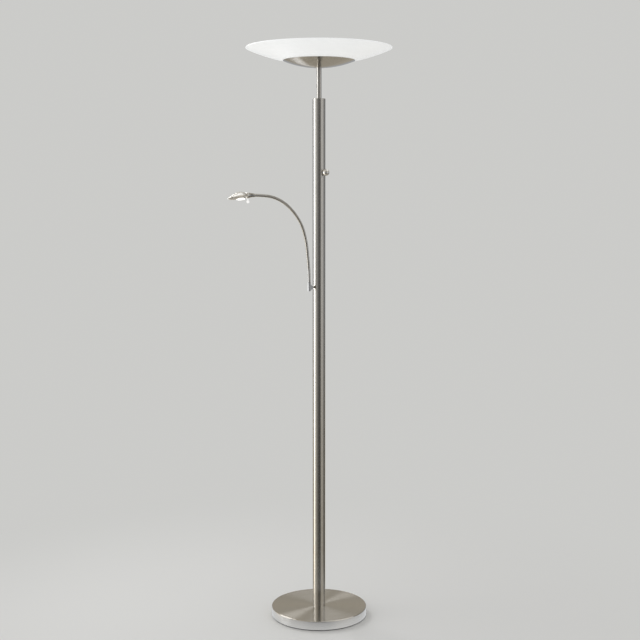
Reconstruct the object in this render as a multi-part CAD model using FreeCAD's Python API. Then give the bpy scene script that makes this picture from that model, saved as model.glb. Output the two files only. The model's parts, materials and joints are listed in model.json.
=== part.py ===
import FreeCAD
import Part
import math
import os

# Torchiere floor lamp with a gooseneck reading light, in millimetres.
#
# The origin is the middle of the underside of the base, on the floor, and +Z is up.
# The reading arm leaves the pole towards -X, the dimmer knob faces -Y, and the
# mains cord enters the back of the base, at +Y.

V = FreeCAD.Vector
Rotation = FreeCAD.Rotation
Placement = FreeCAD.Placement
ORIGIN = V(0, 0, 0)
UP = V(0, 0, 1)
ARM_SIDE = V(-1, 0, 0)
KNOB_SIDE = V(0, -1, 0)
BACK = V(0, 1, 0)
OBLIQUE = V(0.0, 0.6, 0.8)  # along none of the axes that nuts sit on

# ---- fits and clearances ----
SEAT_GAP = 0.05            # between a pressed or screwed piece and its seat
RUNNING_FIT = 0.08         # radial, between a shaft and its bearing
MOVING_GAP = 0.3           # between faces that turn past each other
THREAD_GAP = 0.05          # radial, between a screw and its tapped hole
HOLE_GAP = 0.4             # radial, between a screw and a plain hole
PAST = 1.0                 # how far a cutter or a joined piece runs past the face it meets

# ---- base ----
PAD_THICKNESS = 3.0
PAD_INSET = 7.0            # pad edge to cover edge
PLATE_THICKNESS = 1.2
COVER_RADIUS = 155.0
COVER_HEIGHT = 28.0
COVER_WALL = 1.5
COVER_EDGE_RADIUS = 2.5
PLATE_EDGE_GAP = 0.3
WEIGHT_EDGE_GAP = 1.2      # weight to the cord bushing's tail
WEIGHT_THICKNESS = 13.0
WEIGHT_BOSS_RADIUS = 42.0
STUD_RADIUS = 5.0
STUD_ENGAGEMENT = 20.0     # length inside the foot plug
STUD_NUT_FLATS = 16.0
STUD_NUT_HEIGHT = 6.0
STUD_WASHER_RADIUS = 14.0
STUD_WASHER_THICKNESS = 2.0
NUT_FLOOR_GAP = 0.6        # stud nut to bottom plate
NUT_RECESS_MARGIN = 3.0    # washer edge to recess wall

# ---- cord inlet ----
INLET_HEIGHT = 19.0        # bushing axis above the floor
BUSHING_BORE_RADIUS = 3.5
BUSHING_NECK_RADIUS = 5.5
BUSHING_FLANGE_RADIUS = 8.0
BUSHING_FLANGE_THICKNESS = 2.0
BUSHING_TAIL_LENGTH = 3.0
CHANNEL_HALF_WIDTH = 5.0   # cord channel in the weight
CORD_HOLE_RADIUS = 4.0
CORD_HOLE_OFFSET = 12.5    # behind the pole axis

# ---- pole ----
POLE_RADIUS = 20.5
POLE_WALL = 1.2
SECTION_LENGTH = 409.75
SECTION_COUNT = 4
COUPLER_LENGTH = 60.0
COUPLER_WALL = 3.5
COUPLER_NOTCH_GAP = 1.0    # coupler to the dimmer body, where they meet
FOOT_PLUG_HEIGHT = 26.0
CAP_THICKNESS = 2.0
CAP_PLUG_DEPTH = 14.0
CAP_EDGE_RADIUS = 0.8

# ---- stem ----
STEM_RADIUS = 8.0
STEM_WALL = 1.2
STEM_EXPOSED = 96.3
STEM_TAIL = 24.0           # below the cap's top face
LOCKNUT_FLATS = 24.0
LOCKNUT_HEIGHT = 5.0
NIPPLE_RADIUS = 5.0
NIPPLE_BORE_RADIUS = 3.0
NIPPLE_SLEEVE_LENGTH = 24.0

# ---- cup ----
CUP_RADIUS = 113.6
CUP_DEPTH = 22.0
CUP_WALL = 1.2
CUP_SEAT_RADIUS = 18.0

# ---- glass bowl ----
BOWL_RADIUS = 229.5
BOWL_SPHERE_RADIUS = 575.0
BOWL_THICKNESS = 3.2
BOWL_RIM_GAP = 0.4         # cup rim to glass
BOWL_HOLE_GAP = 1.0        # glass hole to heat sink hub
CUP_GASKET_RADII = (95.0, 104.0)
FLANGE_GASKET_MARGIN = 4.0
FLANGE_GASKET_THICKNESS = 1.2

# ---- uplight engine in the bowl ----
SINK_HUB_RADIUS = 50.0
SINK_FLANGE_RADIUS = 72.0
SINK_FLANGE_THICKNESS = 3.0
SINK_HUB_CLEARANCE = 0.6   # hub underside to cup
SINK_FLOOR_THICKNESS = 3.0
SINK_FOOT_INSET = 1.0      # foot edge to the edge of the cup's flat seat
SINK_WELL_RADIUS = 12.0
CUP_WASHER_RADIUS = 10.0
CUP_WASHER_THICKNESS = 1.5
CUP_NUT_FLATS = 16.0
CUP_NUT_HEIGHT = 5.0
BOARD_RADIUS = 60.0
BOARD_THICKNESS = 1.6
BOARD_SCREW_CIRCLE = 55.0
BOARD_SCREW_COUNT = 3
BOARD_SCREW_RADIUS = 1.5
BOARD_SCREW_HEAD_RADIUS = 2.8
BOARD_SCREW_HEAD_HEIGHT = 2.0
CHIP_SIDE = 5.0
CHIP_HEIGHT = 0.8
CHIP_RING_RADII = (18.0, 32.0, 46.0)
CHIP_RING_COUNTS = (6, 10, 14)
DIFFUSER_RADIUS = 70.0
DIFFUSER_WALL = 1.6
DIFFUSER_SIDE_HEIGHT = 8.0
DIFFUSER_CROWN = 6.0

# ---- power supply and leads inside the pole ----
DRIVER_LENGTH = 140.0
DRIVER_DEPTH = 26.0
DRIVER_WIDTH = 20.0
COLLAR_PAD_HEIGHT = 20.0
COLLAR_PAD_DROP = 30.0     # driver top to pad top
LEAD_RADIUS = 2.2
LEAD_OFFSET = 10.0         # from the pole axis towards the dimmer
LEAD_STRAIGHT = 3.0        # at each end of the bend over the dimmer
ARM_LEAD_BEND_RADIUS = 9.0
LEAD_END_GAP = 0.3

# ---- dimmer ----
DIMMER_HEIGHT = 1442.0
DIMMER_BODY_WIDTH = 16.0
DIMMER_BODY_HEIGHT = 18.0
DIMMER_BODY_DEPTH = 10.0
DIMMER_THREAD_RADIUS = 3.5
DIMMER_SHAFT_RADIUS = 2.5
DIMMER_NUT_FLATS = 10.0
DIMMER_NUT_THICKNESS = 2.0
KNOB_GAP = 0.4             # knob back to nut
KNOB_BALL_RADIUS = 10.6
KNOB_BACK_RADIUS = 6.9
SHAFT_IN_KNOB = 9.0
SHAFT_IN_BODY = 6.0

# ---- arm bracket ----
ARM_HEIGHT = 1080.0
ARM_REACH = 44.0           # pole axis to swivel axis
STUB_BOSS_RADIUS = 4.8
STUB_BOSS_LENGTH = 3.5
STUB_RADIUS = 3.7
STUB_TAIL_RADIUS = 4.0
STUB_TAIL_LENGTH = 6.5     # inside the pole
STUB_BORE_RADIUS = 2.0
BRACKET_NUT_FLATS = 13.0
BRACKET_NUT_THICKNESS = 4.0
GUSSET_THICKNESS = 8.0
GUSSET_RISE = 11.0
GUSSET_START = 30.0        # pole axis to the narrow end of the gusset
GUSSET_MIDDLE_SHARE = 0.3  # of the rise, halfway along
SOCKET_RADIUS = 5.3
SOCKET_BELOW = 11.5
SOCKET_ABOVE = 11.3
SPIGOT_RADIUS = 3.4
SWIVEL_SCREW_HEAD_RADIUS = 4.0
SWIVEL_SCREW_HEAD_HEIGHT = 2.0
SWIVEL_SCREW_RADIUS = 1.5
SWIVEL_SCREW_LENGTH = 3.5
COUNTERBORE_DEPTH = 3.0
FERRULE_HEIGHT = 5.4
FERRULE_EDGE_RADIUS = 0.6
WIRE_WINDOW_HALF_HEIGHT = 3.0

# ---- gooseneck ----
NECK_RADIUS = 4.5
NECK_BORE_RADIUS = 1.5
LINK_LENGTH = 52.0
LINK_TURNS = (5.5, 3.0, 10.5, 20.5, 13.5, 16.5, 15.5, 5.0)
NECK_SWING = 10.0          # each hinge, each way, degrees
BALL_RADIUS = 3.4
BALL_NECK_RADIUS = 2.5
SOCKET_LIP = 1.2           # past the hinge centre
ROOT_DEPTH = 5.0           # first link inside the ferrule
ROOT_RADIUS = 3.6

# ---- reading head ----
END_SPIGOT_RADIUS = 3.4
END_SPIGOT_LENGTH = 10.0
END_GROOVE_RADIUS = 2.8
END_GROOVE_WIDTH = 3.4
END_GROOVE_AT = 5.5
COLLAR_SMALL_RADIUS = 5.6
COLLAR_SMALL_LENGTH = 5.0
COLLAR_BIG_RADIUS = 8.3
COLLAR_FLARE_END = 21.0
COLLAR_FLARE_SAG = 0.35    # the flare's middle, inside a straight cone
COLLAR_END = 24.7
COLLAR_WALL = 1.7
COLLAR_WEB_END = 19.0
GRUB_RADIUS = 1.4
RING_RADIUS = 8.0
RING_BLANK_LENGTH = 8.3    # before the rim plane trims it to a wedge
HEAD_PITCH = 4.5           # nose down, degrees
HEAD_ROLL = 14.0           # underside towards the knob side, degrees
COLLAR_ROLL = 9.0          # the same for the collar and the switch that hangs from it
HEAD_TIP_DISTANCE = 104.0  # neck end to tip, before the pitch
HEAD_DROP = 5.0            # rim plane below the neck axis, at the pitch centre
HEAD_PITCH_CENTRE = 32.0   # from the neck end
HEAD_WALL = 1.4
RIM_SEAM = 0.1
SMALLEST_SECTION = 0.2     # half width or depth that a hollow form starts at
HEAD_STATIONS = (          # from the tip: distance, half width, height, depth below the rim
    (1.2, 1.6, 1.2, 0.3),
    (10.0, 8.0, 5.4, 2.2),
    (22.0, 14.0, 9.9, 3.8),
    (36.0, 19.0, 14.7, 2.9),
    (48.0, 21.0, 16.7, 2.7),
    (58.0, 19.0, 15.2, 2.6),
    (68.0, 14.0, 12.2, 2.3),
    (73.4, 9.6, 11.0, 2.0),
)
TOP_COLUMN = 2
UNDERSIDE_COLUMN = 3
LENS_FROM_TIP = 51.0
LENS_TILT = 11.0           # the lens faces forward from the rim plane, degrees
LENS_RADIUS = 13.0
LENS_THICKNESS = 2.4
LENS_DROP = 6.0            # rim plane to the lens's lowest point, along its axis
LENS_CROWN = 1.2
LENS_FIT = 0.2
BEZEL_WALL = 1.3
BEZEL_SEAM = 0.5           # rim plane to the bezel's upper face
BEZEL_DEPTH = 4.6          # rim plane to the bezel's lower face, along the lens axis
READING_BOARD_RADIUS = 11.0
READING_BOARD_THICKNESS = 1.6
READING_CHIP_RADIUS = 4.5
READING_CHIP_HEIGHT = 0.8
CHIP_TO_LENS_GAP = 0.6
READING_SINK_THICKNESS = 3.0
READING_SINK_POST_RADIUS = 3.5
BOSS_RADIUS = 2.8
COVER_SCREW_RADIUS = 1.0
COVER_SCREW_HEAD_RADIUS = 1.8
COVER_SCREW_HEAD_HEIGHT = 0.8
COVER_SCREW_LENGTH = 6.0
COVER_SCREW_RECESS = 0.2   # skin to screw head
COVER_SCREW_TIP_GAP = 0.2
COVER_SCREWS_FROM_TIP = (27.0, 70.2)   # in front of the bezel and behind it
POST_ROOT_SHARE = 0.6      # of the wall, where a post starts inside the skin

# ---- reading light switch ----
SWITCH_FROM_NECK = 26.8
SWITCH_BODY_LENGTH = 7.4
SWITCH_BODY_WIDTH = 8.0
SWITCH_BODY_HEIGHT = 8.0
SWITCH_THREAD_RADIUS = 1.8
SWITCH_SHAFT_RADIUS = 1.0
SWITCH_KNOB_TOP = 9.4      # below the neck axis
SWITCH_KNOB_LENGTH = 14.4
SWITCH_KNOB_NECK_RADIUS = 2.1
SWITCH_KNOB_BALL_RADIUS = 4.3
SWITCH_KNOB_FLARE_LENGTH = 5.4
SWITCH_KNOB_WAIST_SHARE = 0.62   # of the flare's width, halfway along
SWITCH_BODY_ROOF = 2.0     # over the shaft's bearing
SWITCH_SHAFT_IN_KNOB = 5.0

# ---- places that follow from the sizes ----
COVER_BOTTOM = PAD_THICKNESS
COVER_TOP = COVER_BOTTOM + COVER_HEIGHT
BARB_RADIUS = (BUSHING_NECK_RADIUS + BUSHING_FLANGE_RADIUS) / 2
COVER_INNER_RADIUS = COVER_RADIUS - COVER_WALL
# The bushing's barb bears on the wall's curved inside, so it starts at the chord.
BARB_FACE = math.sqrt(COVER_INNER_RADIUS ** 2 - BARB_RADIUS ** 2) - SEAT_GAP
WEIGHT_RADIUS = BARB_FACE - BUSHING_TAIL_LENGTH - WEIGHT_EDGE_GAP
CEILING = COVER_TOP - COVER_WALL
PLATE_TOP = COVER_BOTTOM + PLATE_THICKNESS
WEIGHT_TOP = PLATE_TOP + WEIGHT_THICKNESS
STUD_BOTTOM = PLATE_TOP + NUT_FLOOR_GAP
NUT_TOP = STUD_BOTTOM + STUD_NUT_HEIGHT
RECESS_TOP = NUT_TOP + STUD_WASHER_THICKNESS
POLE_INNER_RADIUS = POLE_RADIUS - POLE_WALL
POLE_END = COVER_TOP + SECTION_COUNT * SECTION_LENGTH
POLE_TOP = POLE_END + CAP_THICKNESS
PLUG_RADIUS = POLE_INNER_RADIUS - SEAT_GAP
PLUG_TOP = COVER_TOP + FOOT_PLUG_HEIGHT
STEM_INNER_RADIUS = STEM_RADIUS - STEM_WALL
STEM_TOP = POLE_TOP + STEM_EXPOSED
CUP_SPHERE_RADIUS = (CUP_RADIUS ** 2 + CUP_DEPTH ** 2) / (2 * CUP_DEPTH)
DRIVER_TOP = PLUG_TOP + DRIVER_LENGTH
DIMMER_FACE = math.sqrt(POLE_INNER_RADIUS ** 2 - (DIMMER_BODY_WIDTH / 2) ** 2) - SEAT_GAP
DIMMER_NUT_BACK = POLE_RADIUS + SEAT_GAP
DIMMER_NUT_FRONT = DIMMER_NUT_BACK + DIMMER_NUT_THICKNESS
KNOB_BACK = DIMMER_NUT_FRONT + KNOB_GAP
SOCKET_TOP = ARM_HEIGHT + SOCKET_ABOVE
SOCKET_BOTTOM = ARM_HEIGHT - SOCKET_BELOW
FERRULE_BOTTOM = SOCKET_TOP + MOVING_GAP
FERRULE_TOP = FERRULE_BOTTOM + FERRULE_HEIGHT
STUB_INNER_END = POLE_INNER_RADIUS - STUB_TAIL_LENGTH
HEAD_LENGTH = HEAD_STATIONS[-1][0]
HEAD_TIP_X = HEAD_TIP_DISTANCE - HEAD_PITCH_CENTRE
PARTS = {}


# ---- shape helpers ----
def rod(radius, start, axis, length):
    return Part.makeCylinder(radius, length, start, axis)


def disc(radius, bottom, top, x=0.0, y=0.0):
    return rod(radius, V(x, y, bottom), UP, top - bottom)


def ring(outer, inner, bottom, top, x=0.0, y=0.0):
    return disc(outer, bottom, top, x, y).cut(disc(inner, bottom - PAST, top + PAST, x, y))


def block(x_range, y_range, z_range):
    size = [pair[1] - pair[0] for pair in (x_range, y_range, z_range)]
    return Part.makeBox(*size, V(x_range[0], y_range[0], z_range[0]))


def hexagon(flats, start, axis, height):
    corner = flats / math.sqrt(3)
    side = axis.cross(OBLIQUE).normalize()
    other = axis.cross(side)
    turns = [math.radians(60 * k) for k in range(7)]
    points = [start + (side * math.cos(t) + other * math.sin(t)) * corner for t in turns]
    return Part.Face(Part.makePolygon(points)).extrude(axis * height)


def nut(flats, bore, start, axis, height):
    bored = rod(bore, start - axis * PAST, axis, height + 2 * PAST)
    return hexagon(flats, start, axis, height).cut(bored)


def arc(a, b, c):
    return Part.Arc(a, b, c).toShape()


def line(a, b):
    return Part.LineSegment(a, b).toShape()


def turned(edges, centre=ORIGIN, axis=UP):
    outline = Part.Wire(Part.__sortEdges__(edges))
    return Part.Face(outline).revolve(centre, axis, 360)


def joined(shapes):
    whole = shapes[0]
    for shape in shapes[1:]:
        whole = whole.fuse(shape)
    return whole.removeSplitter()


def swept(edges, radius):
    path = Part.Wire(edges)
    start = edges[0].Vertexes[0].Point
    section = Part.Wire(Part.makeCircle(radius, start, edges[0].tangentAt(edges[0].FirstParameter)))
    return path.makePipeShell([section], True, False)


def cup_height(radius, sphere, base):
    """Height of a spherical dish above its lowest point, where base is that point."""
    return base + sphere - math.sqrt(sphere ** 2 - radius ** 2)


def dish_arc(r0, r1, sphere, base):
    middle = (r0 + r1) / 2
    points = [V(r, 0, cup_height(r, sphere, base)) for r in (r0, middle, r1)]
    return arc(*points)


# The cup's outside passes through its seat at the stem's top.
CUP_BASE = STEM_TOP - (cup_height(CUP_SEAT_RADIUS, CUP_SPHERE_RADIUS, 0))
CUP_INNER_SPHERE = CUP_SPHERE_RADIUS - CUP_WALL
CUP_INNER_BASE = CUP_BASE + CUP_WALL
CUP_RIM = cup_height(CUP_RADIUS, CUP_SPHERE_RADIUS, CUP_BASE)
SEAT_TOP = STEM_TOP + CUP_WALL
CUP_INNER_RADIUS = math.sqrt(CUP_INNER_SPHERE ** 2 - (CUP_INNER_BASE + CUP_INNER_SPHERE - CUP_RIM) ** 2)

# The glass clears the inner edge of the cup's rim by BOWL_RIM_GAP.
GLASS_BASE = CUP_RIM + BOWL_RIM_GAP - cup_height(CUP_INNER_RADIUS, BOWL_SPHERE_RADIUS, 0)
GLASS_TOP_SPHERE = BOWL_SPHERE_RADIUS - BOWL_THICKNESS
GLASS_TOP_BASE = GLASS_BASE + BOWL_THICKNESS
BOWL_HOLE_RADIUS = SINK_HUB_RADIUS + BOWL_HOLE_GAP
GASKET_INNER = BOWL_HOLE_RADIUS + FLANGE_GASKET_MARGIN
GASKET_OUTER = SINK_FLANGE_RADIUS - FLANGE_GASKET_MARGIN
FLANGE_BOTTOM = cup_height(SINK_FLANGE_RADIUS, GLASS_TOP_SPHERE, GLASS_TOP_BASE) + FLANGE_GASKET_THICKNESS
FLANGE_TOP = FLANGE_BOTTOM + SINK_FLANGE_THICKNESS
BOARD_TOP = FLANGE_TOP + BOARD_THICKNESS
WASHER_TOP = SEAT_TOP + SINK_FLOOR_THICKNESS + CUP_WASHER_THICKNESS
CUP_NUT_TOP = WASHER_TOP + CUP_NUT_HEIGHT


# ---- base ----
def build_base():
    PARTS["base_pad"] = disc(COVER_RADIUS - PAD_INSET, 0, PAD_THICKNESS)
    plate_radius = COVER_INNER_RADIUS - PLATE_EDGE_GAP
    PARTS["base_bottom_plate"] = disc(plate_radius, COVER_BOTTOM, PLATE_TOP)

    shell = disc(COVER_RADIUS, COVER_BOTTOM, COVER_TOP)
    shell = shell.makeFillet(COVER_EDGE_RADIUS, [shell.Edges[0]])
    shell = shell.cut(disc(COVER_INNER_RADIUS, COVER_BOTTOM - PAST, CEILING))
    shell = shell.cut(disc(STUD_RADIUS + HOLE_GAP, CEILING - PAST, COVER_TOP + PAST))
    shell = shell.cut(disc(CORD_HOLE_RADIUS, CEILING - PAST, COVER_TOP + PAST, 0, CORD_HOLE_OFFSET))
    inlet = V(0, COVER_INNER_RADIUS - PAST, INLET_HEIGHT)
    through_wall = COVER_WALL + 2 * PAST
    PARTS["base_cover"] = shell.cut(rod(BUSHING_NECK_RADIUS + SEAT_GAP, inlet, BACK, through_wall))

    weight = disc(WEIGHT_RADIUS, PLATE_TOP, WEIGHT_TOP)
    weight = weight.fuse(disc(WEIGHT_BOSS_RADIUS, WEIGHT_TOP - PAST, CEILING)).removeSplitter()
    weight = weight.cut(disc(STUD_WASHER_RADIUS + NUT_RECESS_MARGIN, PLATE_TOP - PAST, RECESS_TOP))
    weight = weight.cut(disc(STUD_RADIUS + HOLE_GAP, PLATE_TOP, CEILING + PAST))
    channel_x = (-CHANNEL_HALF_WIDTH, CHANNEL_HALF_WIDTH)
    channel_y = (CORD_HOLE_OFFSET - CORD_HOLE_RADIUS, COVER_RADIUS)
    channel_z = (INLET_HEIGHT - CHANNEL_HALF_WIDTH, CEILING + PAST)
    PARTS["base_weight"] = weight.cut(block(channel_x, channel_y, channel_z))

    stud_top = COVER_TOP + STUD_ENGAGEMENT
    PARTS["base_stud"] = disc(STUD_RADIUS, STUD_BOTTOM, stud_top)
    bore = STUD_RADIUS + THREAD_GAP
    PARTS["base_washer"] = ring(STUD_WASHER_RADIUS, STUD_RADIUS + HOLE_GAP, NUT_TOP, RECESS_TOP)
    PARTS["base_nut"] = nut(STUD_NUT_FLATS, bore, V(0, 0, STUD_BOTTOM), UP, STUD_NUT_HEIGHT)

    plug = disc(PLUG_RADIUS, COVER_TOP, PLUG_TOP)
    plug = plug.cut(disc(bore, COVER_TOP - PAST, stud_top + PAST))
    plug = plug.cut(disc(CORD_HOLE_RADIUS, COVER_TOP - PAST, PLUG_TOP + PAST, 0, CORD_HOLE_OFFSET))
    PARTS["pole_foot_plug"] = plug


def build_cord_inlet():
    flange_start = V(0, COVER_RADIUS + SEAT_GAP, INLET_HEIGHT)
    barb = rod(BARB_RADIUS, V(0, BARB_FACE, INLET_HEIGHT), -BACK, BUSHING_TAIL_LENGTH)
    neck_length = flange_start.y - BARB_FACE + BUSHING_TAIL_LENGTH
    neck = rod(BUSHING_NECK_RADIUS, flange_start, -BACK, neck_length)
    flange = rod(BUSHING_FLANGE_RADIUS, flange_start, BACK, BUSHING_FLANGE_THICKNESS)
    body = joined([flange, neck, barb])
    bore_length = neck_length + BUSHING_FLANGE_THICKNESS + 2 * PAST
    bore_start = V(0, flange_start.y - neck_length - PAST, INLET_HEIGHT)
    PARTS["cord_bushing"] = body.cut(rod(BUSHING_BORE_RADIUS, bore_start, BACK, bore_length))


# ---- pole and stem ----
def build_pole():
    through_wall = POLE_RADIUS + PAST
    dimmer_hole = rod(DIMMER_THREAD_RADIUS + HOLE_GAP, V(0, 0, DIMMER_HEIGHT), KNOB_SIDE, through_wall)
    bracket_hole = rod(STUB_TAIL_RADIUS + SEAT_GAP, V(0, 0, ARM_HEIGHT), ARM_SIDE, through_wall)
    dimmer_room = dimmer_block(COUPLER_NOTCH_GAP)
    couplers = []
    for k in range(SECTION_COUNT):
        bottom = COVER_TOP + k * SECTION_LENGTH
        section = ring(POLE_RADIUS, POLE_INNER_RADIUS, bottom, bottom + SECTION_LENGTH)
        section = section.cut(dimmer_hole).cut(bracket_hole)
        PARTS[f"pole_section_{k + 1}"] = section
        if k:
            half = COUPLER_LENGTH / 2
            coupler = ring(PLUG_RADIUS, PLUG_RADIUS - COUPLER_WALL, bottom - half, bottom + half)
            couplers.append(coupler.cut(dimmer_room))
    PARTS["pole_couplers"] = Part.makeCompound(couplers)

    rim = disc(POLE_RADIUS, POLE_END, POLE_TOP)
    rim = rim.makeFillet(CAP_EDGE_RADIUS, [rim.Edges[0]])
    cap = rim.fuse(disc(PLUG_RADIUS, POLE_END - CAP_PLUG_DEPTH, POLE_END)).removeSplitter()
    stem_hole = disc(STEM_RADIUS + SEAT_GAP, POLE_END - CAP_PLUG_DEPTH - PAST, POLE_TOP + PAST)
    PARTS["pole_top_cap"] = cap.cut(stem_hole)

    PARTS["stem_tube"] = ring(STEM_RADIUS, STEM_INNER_RADIUS, POLE_TOP - STEM_TAIL, STEM_TOP)
    locknut_start = V(0, 0, POLE_END - CAP_PLUG_DEPTH - LOCKNUT_HEIGHT)
    locknut_bore = STEM_RADIUS + THREAD_GAP
    PARTS["stem_locknut"] = nut(LOCKNUT_FLATS, locknut_bore, locknut_start, UP, LOCKNUT_HEIGHT)

    sleeve_bottom = STEM_TOP - NIPPLE_SLEEVE_LENGTH
    nipple = disc(STEM_INNER_RADIUS - SEAT_GAP, sleeve_bottom, STEM_TOP)
    nipple = nipple.fuse(disc(NIPPLE_RADIUS, STEM_TOP - PAST, CUP_NUT_TOP)).removeSplitter()
    PARTS["stem_nipple"] = nipple.cut(disc(NIPPLE_BORE_RADIUS, sleeve_bottom - PAST, CUP_NUT_TOP + PAST))


# ---- cup, glass and uplight engine ----
def build_cup():
    hole = NIPPLE_RADIUS + HOLE_GAP
    edges = [
        line(V(hole, 0, STEM_TOP), V(CUP_SEAT_RADIUS, 0, STEM_TOP)),
        dish_arc(CUP_SEAT_RADIUS, CUP_RADIUS, CUP_SPHERE_RADIUS, CUP_BASE),
        line(V(CUP_RADIUS, 0, CUP_RIM), V(CUP_INNER_RADIUS, 0, CUP_RIM)),
    ]
    inner_seat = math.sqrt(CUP_INNER_SPHERE ** 2 - (CUP_INNER_BASE + CUP_INNER_SPHERE - SEAT_TOP) ** 2)
    edges += [
        dish_arc(CUP_INNER_RADIUS, inner_seat, CUP_INNER_SPHERE, CUP_INNER_BASE),
        line(V(inner_seat, 0, SEAT_TOP), V(hole, 0, SEAT_TOP)),
        line(V(hole, 0, SEAT_TOP), V(hole, 0, STEM_TOP)),
    ]
    PARTS["steel_cup"] = turned(edges)


def build_glass():
    rim_round = BOWL_THICKNESS / 2
    # The rim's round is centred between the two faces, on the normal at the edge.
    middle_sphere = BOWL_SPHERE_RADIUS - rim_round
    centre_height = GLASS_BASE + BOWL_SPHERE_RADIUS
    slope = math.asin((BOWL_RADIUS - rim_round) / middle_sphere)
    outward = V(math.sin(slope), 0, -math.cos(slope))
    along = V(math.cos(slope), 0, math.sin(slope))
    rim_centre = V(0, 0, centre_height) + outward * middle_sphere
    outer_edge = rim_centre + outward * rim_round
    inner_edge = rim_centre - outward * rim_round
    low = V(BOWL_HOLE_RADIUS, 0, cup_height(BOWL_HOLE_RADIUS, BOWL_SPHERE_RADIUS, GLASS_BASE))
    high = V(BOWL_HOLE_RADIUS, 0, cup_height(BOWL_HOLE_RADIUS, GLASS_TOP_SPHERE, GLASS_TOP_BASE))
    edges = [
        dish_arc(low.x, outer_edge.x, BOWL_SPHERE_RADIUS, GLASS_BASE),
        arc(outer_edge, rim_centre + along * rim_round, inner_edge),
        dish_arc(inner_edge.x, high.x, GLASS_TOP_SPHERE, GLASS_TOP_BASE),
        line(high, low),
    ]
    PARTS["glass_bowl"] = turned(edges)

    r0, r1 = CUP_GASKET_RADII
    under = [V(r, 0, cup_height(r, CUP_INNER_SPHERE, CUP_INNER_BASE) + SEAT_GAP) for r in (r0, r1)]
    over = [V(r, 0, cup_height(r, BOWL_SPHERE_RADIUS, GLASS_BASE) - SEAT_GAP) for r in (r0, r1)]
    edges = [
        dish_arc(r0, r1, CUP_INNER_SPHERE, CUP_INNER_BASE + SEAT_GAP),
        line(under[1], over[1]),
        dish_arc(r1, r0, BOWL_SPHERE_RADIUS, GLASS_BASE - SEAT_GAP),
        line(over[0], under[0]),
    ]
    cup_gasket = turned(edges)

    floor = [V(r, 0, cup_height(r, GLASS_TOP_SPHERE, GLASS_TOP_BASE) + SEAT_GAP)
             for r in (GASKET_INNER, GASKET_OUTER)]
    top = [V(r, 0, FLANGE_BOTTOM) for r in (GASKET_OUTER, GASKET_INNER)]
    edges = [
        dish_arc(GASKET_INNER, GASKET_OUTER, GLASS_TOP_SPHERE, GLASS_TOP_BASE + SEAT_GAP),
        line(floor[1], top[0]),
        line(top[0], top[1]),
        line(top[1], floor[0]),
    ]
    PARTS["bowl_gaskets"] = Part.makeCompound([cup_gasket, turned(edges)])


def on_circle(radius, count, start=0.0):
    turns = [start + 2 * math.pi * k / count for k in range(count)]
    return [(radius * math.cos(t), radius * math.sin(t)) for t in turns]


def build_uplight():
    hub_bottom = cup_height(SINK_HUB_RADIUS, CUP_INNER_SPHERE, CUP_INNER_BASE) + SINK_HUB_CLEARANCE
    foot = disc(CUP_SEAT_RADIUS - SINK_FOOT_INSET, SEAT_TOP, hub_bottom + PAST)
    hub = disc(SINK_HUB_RADIUS, hub_bottom, FLANGE_TOP)
    sink = joined([foot, hub, disc(SINK_FLANGE_RADIUS, FLANGE_BOTTOM, FLANGE_TOP)])
    sink = sink.cut(disc(SINK_WELL_RADIUS, SEAT_TOP + SINK_FLOOR_THICKNESS, FLANGE_TOP + PAST))
    sink = sink.cut(disc(NIPPLE_RADIUS + HOLE_GAP, SEAT_TOP - PAST, FLANGE_TOP))
    screw_places = on_circle(BOARD_SCREW_CIRCLE, BOARD_SCREW_COUNT, math.pi / 2)
    for x, y in screw_places:
        tapped = disc(BOARD_SCREW_RADIUS + THREAD_GAP, FLANGE_BOTTOM - PAST, FLANGE_TOP + PAST, x, y)
        sink = sink.cut(tapped)
    PARTS["uplight_heat_sink"] = sink

    washer_bottom = SEAT_TOP + SINK_FLOOR_THICKNESS
    PARTS["cup_washer"] = ring(CUP_WASHER_RADIUS, NIPPLE_RADIUS + HOLE_GAP, washer_bottom, WASHER_TOP)
    nut_bore = NIPPLE_RADIUS + THREAD_GAP
    PARTS["cup_nut"] = nut(CUP_NUT_FLATS, nut_bore, V(0, 0, WASHER_TOP), UP, CUP_NUT_HEIGHT)

    board = disc(BOARD_RADIUS, FLANGE_TOP, BOARD_TOP)
    screws = []
    for x, y in screw_places:
        board = board.cut(disc(BOARD_SCREW_RADIUS + HOLE_GAP, FLANGE_TOP - PAST, BOARD_TOP + PAST, x, y))
        shank = disc(BOARD_SCREW_RADIUS, FLANGE_BOTTOM, BOARD_TOP + PAST, x, y)
        head = disc(BOARD_SCREW_HEAD_RADIUS, BOARD_TOP, BOARD_TOP + BOARD_SCREW_HEAD_HEIGHT, x, y)
        screws.append(joined([shank, head]))
    PARTS["uplight_board"] = board
    PARTS["uplight_board_screws"] = Part.makeCompound(screws)

    half = CHIP_SIDE / 2
    chips = []
    for radius, count in zip(CHIP_RING_RADII, CHIP_RING_COUNTS):
        for x, y in on_circle(radius, count):
            chips.append(block((x - half, x + half), (y - half, y + half),
                               (BOARD_TOP, BOARD_TOP + CHIP_HEIGHT)))
    PARTS["uplight_chips"] = Part.makeCompound(chips)

    outer = diffuser_solid(DIFFUSER_RADIUS, DIFFUSER_SIDE_HEIGHT, DIFFUSER_CROWN)
    inner_side = DIFFUSER_SIDE_HEIGHT - DIFFUSER_WALL
    inner = diffuser_solid(DIFFUSER_RADIUS - DIFFUSER_WALL, inner_side, DIFFUSER_CROWN)
    PARTS["uplight_diffuser"] = outer.cut(inner)


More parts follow.
